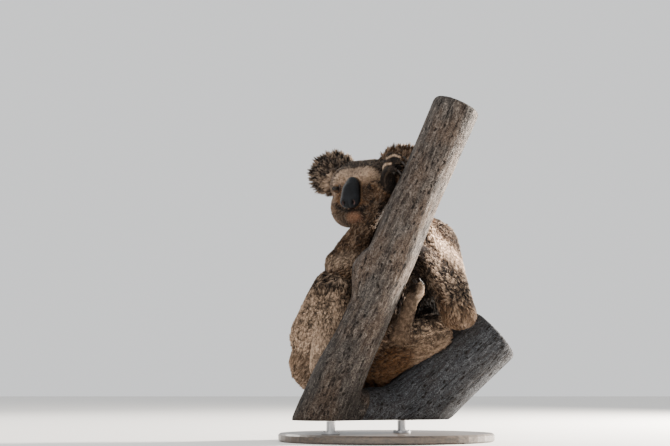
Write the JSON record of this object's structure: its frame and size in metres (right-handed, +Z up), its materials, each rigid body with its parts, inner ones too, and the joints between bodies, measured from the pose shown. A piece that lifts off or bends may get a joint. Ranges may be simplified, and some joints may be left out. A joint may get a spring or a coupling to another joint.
{
  "type": "koala model",
  "caption": "Life-size koala sitting in a tree fork, hugging the leaning limb with its head resting beside it, on a flat display stand with short rods.",
  "frame": {"origin": "centre of the underside of the stand's base, on the surface it stands on", "axes": "+Z up; the koala faces -Y with its head turned towards -X; the koala's left side and the leaning limb's top are towards +X"},
  "size_m": [0.4382, 0.3049, 0.6185],
  "materials": {
    "fur": "short dense grizzled fur",
    "chin": "thinly furred pale skin",
    "nose_leather": "fine grained, satin",
    "eye": "wet gloss",
    "claw_horn": "satin horn",
    "bark": "smooth weathered gum bark",
    "stand_board": "dark satin stain",
    "stand_steel": "brushed"
  },
  "bodies": {
    "root": {"claw_foot_left_toe_2": "claw_horn", "claw_foot_left_toe_3": "claw_horn", "claw_foot_left_toe_4": "claw_horn", "claw_foot_left_toe_5": "claw_horn", "claw_foot_right_toe_2": "claw_horn", "claw_foot_right_toe_3": "claw_horn", "claw_foot_right_toe_4": "claw_horn", "claw_foot_right_toe_5": "claw_horn", "claw_hand_left_finger_3": "claw_horn", "claw_hand_left_finger_4": "claw_horn", "claw_hand_left_finger_5": "claw_horn", "claw_hand_left_thumb_1": "claw_horn", "claw_hand_left_thumb_2": "claw_horn", "claw_hand_right_finger_3": "claw_horn", "claw_hand_right_finger_4": "claw_horn", "claw_hand_right_finger_5": "claw_horn", "claw_hand_right_thumb_1": "claw_horn", "claw_hand_right_thumb_2": "claw_horn", "ear_left": "fur", "ear_right": "fur", "eye_left": "eye", "eye_right": "eye", "foot_left": "fur", "foot_right": "fur", "forearm_left": "fur", "forearm_right": "fur", "hand_left": "fur", "hand_right": "fur", "head": "fur", "jaw": "chin", "neck": "fur", "nose": "nose_leather", "perch_fork": "bark", "shank_left": "fur", "shank_right": "fur", "stand_base": "stand_board", "stand_rod_1": "stand_steel", "stand_rod_2": "stand_steel", "thigh_left": "fur", "thigh_right": "fur", "trunk": "fur", "upper_arm_left": "fur", "upper_arm_right": "fur"}
  },
  "joints": []
}
